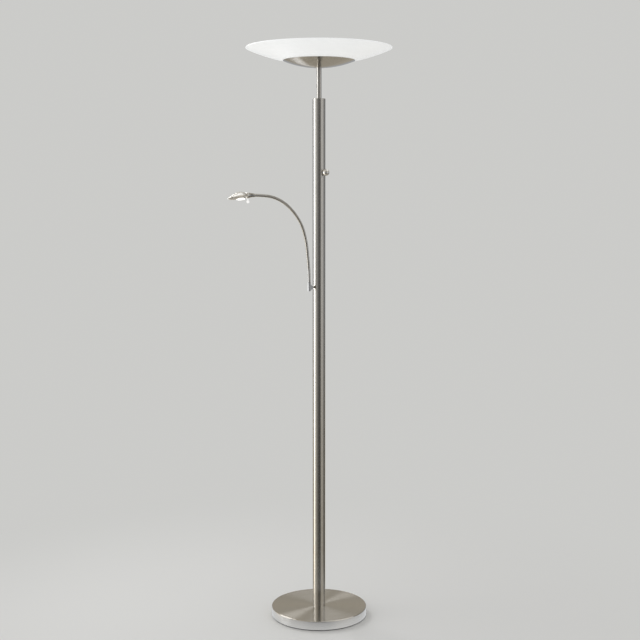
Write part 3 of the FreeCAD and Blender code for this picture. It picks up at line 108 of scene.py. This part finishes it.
# A white ceiling panel, tilted: degrees round the lamp, degrees up, and how close to that
# direction, as a cosine, the bands give way to it.
CEILING = (1.45, 1.45, 1.44)
CEILING_SIDE = 125.0
CEILING_UP = 68.0
CEILING_RISE = (0.84, 0.92)
# A bright strip on the floor behind the lamp, away from the camera, which the cup mirrors.
STRIP_TONE = 1.5
STRIP_LEFT = (-0.78, -0.70)  # from the pole, as the camera looks: negative is left
STRIP_RIGHT = (-0.55, -0.47)
STRIP_START = (1.6, 2.2)     # from the pole, away from the camera
# Close to the base, metal sees a white patch of floor instead.
PATCH_TONE = (0.86, 0.89, 0.93)
PATCH_FADE = (0.21, 0.28)

# ---- foot pad, and the painted shade line under the base ----
# The pad's black lip sits this close to the cover's edge so that it paints the dark shade line under the base.
PAD_EDGE_GAP = 0.0015        # pad edge to cover edge
PAD_ROUNDING = 0.0006
PAD_GROOVES = 10
PAD_GROOVE_STEP = 0.012
PAD_GROOVE_WIDTH = 0.003
PAD_GROOVE_DEPTH = 0.0008
PAD_SIDES = 160

# ---- gooseneck ----
NECK_LINKS = 8
NECK_RADIUS = 0.0045
NECK_INNER_RADIUS = 0.0032
NECK_RIBS_PER_LINK = 26
NECK_RIB_DEPTH = 0.00035
NECK_BORE_STEPS = 13
NECK_SIDES = 32
# One rib: share of its pitch, and share of the groove's depth.
RIB_PROFILE = ((0.0, 1.0), (0.08, 0.3), (0.16, 0.0), (0.22, 0.0), (0.78, 0.0), (0.84, 0.0), (0.92, 0.3))


# ---- node helpers ----
NOISE_LOW = 0.3              # the usual range of a noise
NOISE_HIGH = 0.7


def node(tree, kind, **settings):
    made = tree.nodes.new(kind)
    for key, value in settings.items():
        setattr(made, key, value)
    return made


def feed(tree, socket, value):
    if isinstance(value, (int, float, tuple)):
        socket.default_value = value
    else:
        tree.links.new(value, socket)


def maths(tree, operation, *values):
    made = node(tree, "ShaderNodeMath", operation=operation)
    for socket, value in zip(made.inputs, values):
        feed(tree, socket, value)
    return made.outputs[0]


def vector_maths(tree, operation, *values):
    made = node(tree, "ShaderNodeVectorMath", operation=operation)
    for socket, value in zip(made.inputs, values):
        feed(tree, socket, value)
    return made


def combine(tree, x, y, z):
    made = node(tree, "ShaderNodeCombineXYZ")
    for socket, value in zip(made.inputs, (x, y, z)):
        feed(tree, socket, value)
    return made.outputs[0]


def noise(tree, vector, scale, detail=2.0, w=None):
    made = node(tree, "ShaderNodeTexNoise", noise_dimensions="3D" if w is None else "4D")
    made.inputs["Scale"].default_value = scale
    made.inputs["Detail"].default_value = detail
    feed(tree, made.inputs["Vector"], vector)
    if w is not None:
        feed(tree, made.inputs["W"], w)
    return made.outputs["Fac"]


def apart(tree, vector):
    """The X, Y and Z sockets of a vector."""
    made = node(tree, "ShaderNodeSeparateXYZ")
    feed(tree, made.inputs[0], vector)
    return made.outputs


def spread(tree, value, low, high):
    """Maps the usual range of a noise onto low..high."""
    made = node(tree, "ShaderNodeMapRange")
    ends = {"From Min": NOISE_LOW, "From Max": NOISE_HIGH, "To Min": low, "To Max": high}
    for name, number in ends.items():
        made.inputs[name].default_value = number
    feed(tree, made.inputs["Value"], value)
    return made.outputs["Result"]


def blended(tree, share, low, high):
    """A colour between two colour sockets or constants, by share."""
    made = node(tree, "ShaderNodeMix", data_type="RGBA")
    feed(tree, made.inputs["A"], low)
    feed(tree, made.inputs["B"], high)
    feed(tree, made.inputs["Factor"], share)
    return made.outputs["Result"]


def either(tree, share, first, second):
    """The first shader where the share is 0, the second where it is 1."""
    made = node(tree, "ShaderNodeMixShader")
    for socket, value in zip(made.inputs, (share, first, second)):
        feed(tree, socket, value)
    return made.outputs[0]


def shining(tree, kind, colour):
    """A background or an emission of one colour."""
    made = node(tree, kind)
    feed(tree, made.inputs["Color"], colour)
    return made.outputs[0]


def rising(tree, value, reach):
    """A smooth rise from 0 to 1 over the reach."""
    made = node(tree, "ShaderNodeMapRange", interpolation_type="SMOOTHSTEP")
    made.inputs["From Min"].default_value = reach[0]
    made.inputs["From Max"].default_value = reach[1]
    feed(tree, made.inputs["Value"], value)
    return made.outputs["Result"]


def tinted(tree, shader, share, low, high):
    """Tints a shader between two colours, by a noise."""
    colour = blended(tree, spread(tree, share, 0.0, 1.0), (*low, 1.0), (*high, 1.0))
    tree.links.new(colour, shader.inputs["Base Color"])


def dulled(tree, shader, share, low, high):
    """Sets a shader's roughness between two values, by a noise."""
    tree.links.new(spread(tree, share, low, high), shader.inputs["Roughness"])


def bumped(tree, shader, height, distance):
    made = node(tree, "ShaderNodeBump")
    made.inputs["Distance"].default_value = distance
    made.inputs["Strength"].default_value = 1.0
    feed(tree, made.inputs["Height"], height)
    tree.links.new(made.outputs["Normal"], shader.inputs["Normal"])


def object_place(tree):
    return node(tree, "ShaderNodeTexCoord").outputs["Object"]


def new_material(name, **constants):
    material = bpy.data.materials.new(name)
    material.use_nodes = True
    shader = material.node_tree.nodes["Principled BSDF"]
    for key, value in constants.items():
        shader.inputs[key.replace("_", " ")].default_value = value
    return material, material.node_tree, shader


# ---- materials ----
BRUSH_LINES = 900.0          # fine lines to a metre
BRUSH_BANDS = 75.0           # and broad ones
BRUSH_LINES_SHARE = 0.6


def brush_marks(tree, around, height, radius, fineness, detail):
    """Noise drawn out round the lamp's axis, with that many lines to a metre."""
    place = combine(tree, around["X"], around["Y"], maths(tree, "MULTIPLY", height, fineness))
    return noise(tree, place, 1.0, detail, w=maths(tree, "MULTIPLY", radius, fineness))


def brushed_steel():
    """Steel brushed round the lamp's axis: highlights spread across the brush lines."""
    material, tree, shader = new_material("brushed_steel", Metallic=1.0, Anisotropic=1.0,
                                          Anisotropic_Rotation=0.25)
    place = apart(tree, object_place(tree))
    flat = combine(tree, place["X"], place["Y"], 0.0)
    radius = vector_maths(tree, "LENGTH", flat).outputs["Value"]
    around = apart(tree, vector_maths(tree, "NORMALIZE", flat).outputs["Vector"])
    lines = brush_marks(tree, around, place["Z"], radius, BRUSH_LINES, 3.0)
    bands = brush_marks(tree, around, place["Z"], radius, BRUSH_BANDS, 2.0)
    lines_part = maths(tree, "MULTIPLY", lines, BRUSH_LINES_SHARE)
    bands_part = maths(tree, "MULTIPLY", bands, 1.0 - BRUSH_LINES_SHARE)
    both = maths(tree, "ADD", lines_part, bands_part)
    tinted(tree, shader, both, (0.575, 0.555, 0.52), (0.625, 0.605, 0.57))
    dulled(tree, shader, both, 0.21, 0.24)
    tangent = node(tree, "ShaderNodeTangent", direction_type="RADIAL", axis="Z")
    tree.links.new(tangent.outputs[0], shader.inputs["Tangent"])
    bumped(tree, shader, lines, 0.000003)
    return material


def bright_steel():
    material, tree, shader = new_material("bright_steel", Metallic=1.0)
    place = object_place(tree)
    smears = noise(tree, place, 60.0, 3.0)
    scratches = noise(tree, place, 1400.0, 1.0)
    tinted(tree, shader, smears, (0.52, 0.51, 0.49), (0.60, 0.59, 0.57))
    dulled(tree, shader, smears, 0.08, 0.13)
    bumped(tree, shader, scratches, 0.000003)
    return material


def satin_aluminium():
    material, tree, shader = new_material("satin_aluminium", Metallic=1.0)
    place = object_place(tree)
    grain = noise(tree, place, 2200.0)
    clouds = noise(tree, place, 90.0)
    tinted(tree, shader, clouds, (0.82, 0.81, 0.79), (0.90, 0.89, 0.87))
    dulled(tree, shader, grain, 0.32, 0.4)
    bumped(tree, shader, grain, 0.000002)
    return material


def frosted_glass():
    """Acid-etched white glass, lit from inside the bowl."""
    material, tree, shader = new_material("frosted_glass", Roughness=0.34, IOR=1.5,
                                          Emission_Color=(0.98, 0.995, 1.0, 1.0), Emission_Strength=0.33)
    place = object_place(tree)
    etch = noise(tree, place, 1800.0)
    clouds = noise(tree, place, 14.0)
    tinted(tree, shader, clouds, (0.86, 0.87, 0.875), (0.89, 0.895, 0.895))
    bumped(tree, shader, etch, 0.00002)
    return material


def opal_plastic():
    material, tree, shader = new_material("opal_plastic", Roughness=0.45,
                                          Emission_Color=(1.0, 0.98, 0.94, 1.0), Emission_Strength=0.38)
    grain = noise(tree, object_place(tree), 900.0)
    tinted(tree, shader, grain, (0.84, 0.84, 0.82), (0.88, 0.88, 0.865))
    bumped(tree, shader, grain, 0.00002)
    return material


def lit_lens():
    material, tree, shader = new_material("lit_lens", Roughness=0.12, IOR=1.49,
                                          Emission_Color=(1.0, 0.985, 0.96, 1.0), Emission_Strength=1.1)
    haze = noise(tree, object_place(tree), 500.0)
    tinted(tree, shader, haze, (0.86, 0.86, 0.85), (0.9, 0.9, 0.89))
    return material


def plain(name, low, high, roughness, scale, relief, metallic=0.0, **constants):
    """A surface with one fine grain that tints it, dulls it and lifts it."""
    material, tree, shader = new_material(name, Metallic=metallic, **constants)
    grain = noise(tree, object_place(tree), scale, 3.0)
    tinted(tree, shader, grain, low, high)
    dulled(tree, shader, grain, *roughness)
    bumped(tree, shader, grain, relief)
    return material


MATERIALS = {
    "brushed_steel": brushed_steel(),
    "bright_steel": bright_steel(),
    "satin_aluminium": satin_aluminium(),
    "frosted_glass": frosted_glass(),
    "opal_plastic": opal_plastic(),
    "lit_lens": lit_lens(),
    "pad_rubber": plain("pad_rubber", (0.012, 0.012, 0.012), (0.03, 0.03, 0.03),
                        (0.7, 0.9), 900, 0.0001),
    "zinc_steel": plain("zinc_steel", (0.5, 0.5, 0.48), (0.66, 0.66, 0.63),
                        (0.3, 0.45), 500, 0.00002, 1.0),
    "grey_iron": plain("grey_iron", (0.1, 0.1, 0.1), (0.2, 0.2, 0.2),
                       (0.6, 0.8), 400, 0.0003, 1.0),
    "cast_aluminium": plain("cast_aluminium", (0.55, 0.55, 0.55), (0.7, 0.7, 0.7),
                            (0.4, 0.55), 600, 0.0001, 1.0),
    "lit_chips": plain("lit_chips", (0.9, 0.75, 0.3), (1.0, 0.85, 0.4),
                       (0.4, 0.5), 800, 0.00002),
    "circuit_board": plain("circuit_board", (0.8, 0.8, 0.78), (0.86, 0.86, 0.84),
                           (0.35, 0.45), 700, 0.00001),
    # Its emission is a painted glow that keeps the switch knob bright white, though the knob is no lamp.
    "white_plastic": plain("white_plastic", (0.88, 0.88, 0.87), (0.93, 0.93, 0.92),
                           (0.2, 0.3), 1200, 0.00001,
                           Emission_Color=(1.0, 0.99, 0.97, 1.0), Emission_Strength=0.42),
    "black_plastic": plain("black_plastic", (0.015, 0.015, 0.015), (0.03, 0.03, 0.03),
                           (0.4, 0.55), 1200, 0.00004),
}

# Nodes that the photograph shows in another finish than their slot's.
NODE_FINISH = {
    # The switch knob takes white_plastic for its colour and for its painted glow.
    "reading_switch_knob": "white_plastic",
    "head_joint_ring": "satin_aluminium",
    "dimmer_knob": "satin_aluminium",
}


# ---- meshes ----
def mesh_piece(name, points, faces, slot):
    mesh = bpy.data.meshes.new(name)
    mesh.from_pydata(points, [], faces)
    mesh.update()
    piece = bpy.data.objects.new(name, mesh)
    bpy.context.scene.collection.objects.link(piece)
    mesh.shade_smooth()
    mesh.materials.append(MATERIALS[slot])
    return piece


def skin(rings):
    """Faces between closed rings of points, with the last ring joined to the first."""
    sides = len(rings[0])
    points = [point for ring in rings for point in ring]
    faces = []
    for k in range(len(rings)):
        here = k * sides
        there = (k + 1) % len(rings) * sides
        for j in range(sides):
            after = (j + 1) % sides
            faces.append((here + j, here + after, there + after, there + j))
    return points, faces


def lathed(outline, sides):
    """Points and faces of an outline of (radius, height) turned round Z, from axis to axis."""
    points = [(0.0, 0.0, outline[0][1]), (0.0, 0.0, outline[-1][1])]
    for radius, height in outline[1:-1]:
        for j in range(sides):
            turn = 2 * math.pi * j / sides
            points.append((radius * math.cos(turn), radius * math.sin(turn), height))
    faces = []
    rows = len(outline) - 2
    last = 2 + (rows - 1) * sides
    for j in range(sides):
        after = (j + 1) % sides
        faces.append((0, 2 + j, 2 + after))
        faces.append((1, last + after, last + j))
        for k in range(rows - 1):
            here = 2 + k * sides
            there = here + sides
            faces.append((here + j, there + j, there + after, here + after))
    return points, faces


# ---- gooseneck ----
def joint_place(name):
    return Vector(next(joint["pos_m"] for joint in frame["joints"] if joint["name"] == name))


def neck_path():
    """The arm's arcs: start point, start angle from upright, turn and length of each link."""
    start = Vector((joint_place("arm_swivel").x, 0.0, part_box("swivel_ferrule")[1].z))
    stops = [joint_place(f"neck_bend_{k}") for k in range(1, NECK_LINKS)] + [joint_place("head_roll")]
    angle = 0.0
    arcs = []
    for stop in stops:
        chord = stop - start
        turn = 2 * (math.atan2(-chord.x, chord.z) - angle)
        length = chord.length * (turn / 2) / math.sin(turn / 2)
        arcs.append((start, angle, turn, length))
        start = stop
        angle += turn
    return arcs


def along_arc(arc, distance):
    """The centre and direction at a distance along one link."""
    start, angle, turn, length = arc
    radius = length / turn
    here = angle + turn * distance / length
    centre = start + radius * Vector((-math.cos(angle), 0.0, -math.sin(angle)))
    point = centre + radius * Vector((math.cos(here), 0.0, math.sin(here)))
    return point, Vector((-math.sin(here), 0.0, math.cos(here)))


def neck_ring(arcs, place, radius):
    """A ring round the arm, place counted in links from the foot."""
    link = min(int(place), len(arcs) - 1)
    point, onward = along_arc(arcs[link], (place - link) * arcs[link][3])
    side = Vector((0.0, 1.0, 0.0))
    up = onward.cross(side)
    turns = [2 * math.pi * j / NECK_SIDES for j in range(NECK_SIDES)]
    return [point + radius * (math.cos(t) * side + math.sin(t) * up) for t in turns]


def neck_piece(name, arcs, first, last):
    """One ribbed stretch of the arm with its bore, from one place to another."""
    ribs = round((last - first) * NECK_RIBS_PER_LINK)
    rings = []
    for rib in range(ribs):
        for share, depth in RIB_PROFILE:
            place = first + (rib + share) / NECK_RIBS_PER_LINK
            rings.append(neck_ring(arcs, place, NECK_RADIUS - depth * NECK_RIB_DEPTH))
    rings.append(neck_ring(arcs, last, NECK_RADIUS - NECK_RIB_DEPTH))
    for k in range(NECK_BORE_STEPS + 1):
        place = last + (first - last) * k / NECK_BORE_STEPS
        rings.append(neck_ring(arcs, place, NECK_INNER_RADIUS))
    return mesh_piece(name, *skin(rings), "bright_steel")


def build_gooseneck():
    """A tube piece round each hinge, and a plain one at either end of the arm."""
    arcs = neck_path()
    bodies = ["arm_foot"] + [f"neck_{k}" for k in range(2, NECK_LINKS + 1)]
    foot = neck_piece("arm_tube_foot", arcs, 0.0, 0.5)
    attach(foot, bodies[0])
    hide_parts("gooseneck_link_1")
    for k in range(1, len(arcs)):
        bend = neck_piece(f"arm_tube_{k}", arcs, k - 0.5, k + 0.5)
        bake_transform(bend)
        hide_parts(f"gooseneck_link_{k + 1}")
    tip = neck_piece("arm_tube_tip", arcs, len(arcs) - 0.5, float(len(arcs)))
    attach(tip, bodies[-1])


# ---- foot pad, and the painted shade line under the base ----
def build_pad_and_shade_line():
    """The rubber pad under the base, with grooves underneath and a lip close to the cover's edge, whose black
    shows as a painted shade line under the base.
    """
    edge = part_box("base_cover")[1].x - PAD_EDGE_GAP
    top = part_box("base_pad")[1].z
    outline = [(0.0, top), (edge - PAD_ROUNDING, top), (edge, top - PAD_ROUNDING), (edge, PAD_ROUNDING),
               (edge - PAD_ROUNDING, 0.0)]
    for k in range(PAD_GROOVES):
        groove = edge - PAD_ROUNDING - (k + 1) * PAD_GROOVE_STEP
        outline += [(groove, 0.0), (groove - PAD_GROOVE_WIDTH / 4, PAD_GROOVE_DEPTH),
                    (groove - 3 * PAD_GROOVE_WIDTH / 4, PAD_GROOVE_DEPTH), (groove - PAD_GROOVE_WIDTH, 0.0)]
    outline.append((0.0, 0.0))
    pad = mesh_piece("foot_pad", *lathed(outline, PAD_SIDES), "pad_rubber")
    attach(pad, "stand")
    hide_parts("base_pad")


# ---- studio ----
def aimed(obj, place, target):
    obj.location = place
    obj.rotation_euler = (Vector(target) - Vector(place)).to_track_quat("-Z", "Y").to_euler()


def round_lamp(degrees, distance, height):
    """A place round the lamp, counted from the camera's side, to the right as it looks."""
    turn = math.radians(CAMERA_AZIMUTH + degrees)
    return Vector((math.sin(turn) * distance, -math.cos(turn) * distance, height))


def softbox(name, place, target, size, power, shares):
    """An area light, with its shares for matt surfaces and bright ones."""
    light = bpy.data.lights.new(name, "AREA")
    light.shape = "RECTANGLE"
    light.size, light.size_y = size
    light.energy = power
    light.diffuse_factor, light.specular_factor = shares
    obj = bpy.data.objects.new(name, light)
    bpy.context.scene.collection.objects.link(obj)
    aimed(obj, place, target)


def build_lights():
    key = round_lamp(KEY_SIDE, KEY_DISTANCE, KEY_HEIGHT)
    top = round_lamp(TOP_SIDE, TOP_DISTANCE, TOP_HEIGHT)
    softbox("key_light", key, (0.0, 0.0, KEY_HEIGHT), KEY_SIZE, KEY_POWER, KEY_SHARES)
    softbox("top_light", top, (0.0, 0.0, TOP_AIM_HEIGHT), TOP_SIZE, TOP_POWER, TOP_SHARES)


def grey(tone):
    return (tone, tone, tone, 1.0)


def bands_round(tree, place, profile):
    """The brightness that metal sees in the direction of a place, as its X, Y and Z sockets."""
    angle = maths(tree, "ARCTAN2", place["X"], maths(tree, "MULTIPLY", place["Y"], -1.0))
    turned = maths(tree, "SUBTRACT", angle, math.radians(CAMERA_AZIMUTH))
    share = maths(tree, "FRACT", maths(tree, "ADD", maths(tree, "DIVIDE", turned, 2 * math.pi), 0.5))
    ramp = node(tree, "ShaderNodeValToRGB")
    stops = ramp.color_ramp.elements
    while len(stops) > 1:
        stops.remove(stops[-1])
    stops[0].position = 0.0
    stops[0].color = grey(profile[0][1])
    for degrees, tone in profile[1:]:
        stops.new(degrees / 360 + 0.5).color = grey(tone)
    feed(tree, ramp.inputs[0], share)
    return ramp.outputs[0]


def studio_bands(tree):
    """What metal sees round the lamp: bands near the horizon, calmer and warmer ones higher, a ceiling."""
    place = node(tree, "ShaderNodeTexCoord").outputs["Generated"]
    split = apart(tree, place)
    ring = bands_round(tree, split, STUDIO_PROFILE)
    calm_ring = vector_maths(tree, "MINIMUM", ring, (CALM_TONE, CALM_TONE, CALM_TONE)).outputs[0]
    ring = blended(tree, rising(tree, split["Z"], CALM_RISE), ring, calm_ring)
    height = maths(tree, "ABSOLUTE", split["Z"])
    warmth = blended(tree, rising(tree, height, WARM_RISE), (*COOL, 1.0), (*WARM, 1.0))
    warm_ring = vector_maths(tree, "MULTIPLY", ring, warmth).outputs[0]
    up = math.radians(CEILING_UP)
    aim = tuple(round_lamp(CEILING_SIDE, math.cos(up), math.sin(up)))
    towards = vector_maths(tree, "DOT_PRODUCT", place, aim).outputs["Value"]
    return blended(tree, rising(tree, towards, CEILING_RISE), warm_ring, (*CEILING, 1.0))


def build_world():
    """A pale room: the camera sees one tone, metal sees bands round the lamp, the rest is even."""
    world = bpy.data.worlds.new("studio")
    bpy.context.scene.world = world
    world.use_nodes = True
    tree = world.node_tree
    tree.nodes.clear()
    rays = node(tree, "ShaderNodeLightPath").outputs
    ambient = shining(tree, "ShaderNodeBackground", grey(AMBIENT))
    bands = shining(tree, "ShaderNodeBackground", studio_bands(tree))
    backdrop = shining(tree, "ShaderNodeBackground", (*BACKDROP, 1.0))
    plainly = maths(tree, "MAXIMUM", rays["Is Camera Ray"], rays["Is Transmission Ray"])
    surfaces_see = either(tree, rays["Is Glossy Ray"], ambient, bands)
    out = node(tree, "ShaderNodeOutputWorld")
    tree.links.new(either(tree, plainly, surfaces_see, backdrop), out.inputs[0])


def floor_strip(tree):
    """1 on the bright strip of the floor, 0 off it."""
    view = math.radians(CAMERA_AZIMUTH)
    place = object_place(tree)
    to_right = (math.cos(view), math.sin(view), 0.0)
    ahead = (-math.sin(view), math.cos(view), 0.0)
    across = vector_maths(tree, "DOT_PRODUCT", place, to_right).outputs["Value"]
    onward = vector_maths(tree, "DOT_PRODUCT", place, ahead).outputs["Value"]
    past_right = maths(tree, "SUBTRACT", 1.0, rising(tree, across, STRIP_RIGHT))
    inside = maths(tree, "MULTIPLY", rising(tree, across, STRIP_LEFT), past_right)
    return maths(tree, "MULTIPLY", inside, rising(tree, onward, STRIP_START))


def mirrored_floor(tree, away):
    """What metal sees on the floor: warm bands, the strip, and a white patch close to the base."""
    bands = bands_round(tree, apart(tree, object_place(tree)), FLOOR_PROFILE)
    warm_bands = vector_maths(tree, "MULTIPLY", bands, WARM).outputs[0]
    warm_bands = blended(tree, floor_strip(tree), warm_bands, grey(STRIP_TONE))
    return blended(tree, rising(tree, away, PATCH_FADE), (*PATCH_TONE, 1.0), warm_bands)


def floor_material():
    """A pale floor that keeps the lamp's shadow and fades into the backdrop with distance."""
    material, tree, shader = new_material("floor", Roughness=0.6, Base_Color=FLOOR_COLOUR)
    rays = node(tree, "ShaderNodeLightPath").outputs
    away = vector_maths(tree, "LENGTH", object_place(tree)).outputs["Value"]
    backdrop = shining(tree, "ShaderNodeEmission", (*BACKDROP, 1.0))
    mirrored = shining(tree, "ShaderNodeEmission", mirrored_floor(tree, away))
    faded = maths(tree, "MULTIPLY", rays["Is Camera Ray"], rising(tree, away, FLOOR_FADE))
    seen = either(tree, faded, shader.outputs[0], backdrop)
    both = either(tree, rays["Is Glossy Ray"], seen, mirrored)
    tree.links.new(both, tree.nodes["Material Output"].inputs["Surface"])
    return material


def build_floor():
    turns = [2 * math.pi * k / FLOOR_SIDES for k in range(FLOOR_SIDES)]
    edge = [(FLOOR_RADIUS * math.cos(t), FLOOR_RADIUS * math.sin(t), 0.0) for t in turns]
    mesh = bpy.data.meshes.new("floor")
    mesh.from_pydata(edge, [], [tuple(range(FLOOR_SIDES))])
    mesh.materials.append(floor_material())
    floor = bpy.data.objects.new("floor", mesh)
    bpy.context.scene.collection.objects.link(floor)


def build_camera():
    camera = bpy.data.cameras.new("camera")
    camera.sensor_width = SENSOR_WIDTH
    camera.lens = FOCAL_LENGTH / IMAGE_WIDTH * SENSOR_WIDTH
    obj = bpy.data.objects.new("camera", camera)
    bpy.context.scene.collection.objects.link(obj)
    obj.location = round_lamp(0.0, CAMERA_DISTANCE, CAMERA_HEIGHT)
    turn_right = math.atan((IMAGE_WIDTH / 2 - POLE_COLUMN) / FOCAL_LENGTH)
    heading = math.radians(CAMERA_AZIMUTH) - turn_right
    obj.rotation_euler = (math.pi / 2 - CAMERA_TILT, 0.0, heading)
    bpy.context.scene.camera = obj


def dress_frame():
    """Gives each CAD node the material of its slot, or the finish that NODE_FINISH names."""
    slot_of = {part["node"]: part["material_slot"] for part in frame["record"]["subparts"]}
    for name, obj in frame["nodes"].items():
        obj.data.materials.clear()
        obj.data.materials.append(MATERIALS[NODE_FINISH.get(name, slot_of[name])])


dress_frame()
build_pad_and_shade_line()
build_gooseneck()
build_world()
build_lights()
build_floor()
build_camera()
bpy.context.scene.view_settings.view_transform = "Standard"
